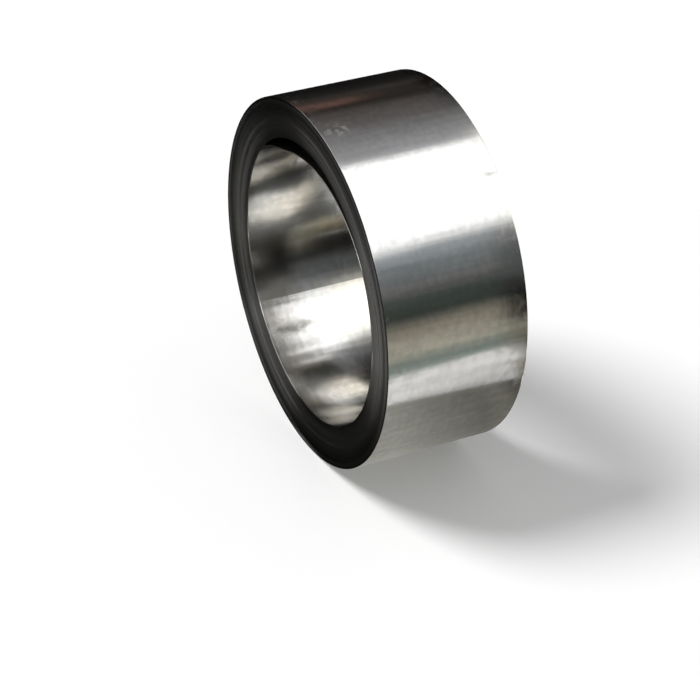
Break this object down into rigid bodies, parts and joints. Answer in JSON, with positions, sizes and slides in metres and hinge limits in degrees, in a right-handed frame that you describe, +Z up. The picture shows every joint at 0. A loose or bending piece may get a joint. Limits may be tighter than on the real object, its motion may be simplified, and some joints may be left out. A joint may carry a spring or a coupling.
{
  "type": "steel coil",
  "caption": "Coil of bright cold-rolled steel strip, wound with an open bore and standing on its rim.",
  "frame": {"origin": "on the floor under the middle of the coil, half way along the strip's width", "axes": "+Z up, +Y along the coil's axis, towards the far end"},
  "size_m": [0.3878, 0.1568, 0.3879],
  "materials": {
    "steel": "bright cold-rolled strip with a fine grain along its length, and dark slit edges on the ends"
  },
  "bodies": {
    "root": {"wound_strip": "steel"}
  },
  "joints": []
}
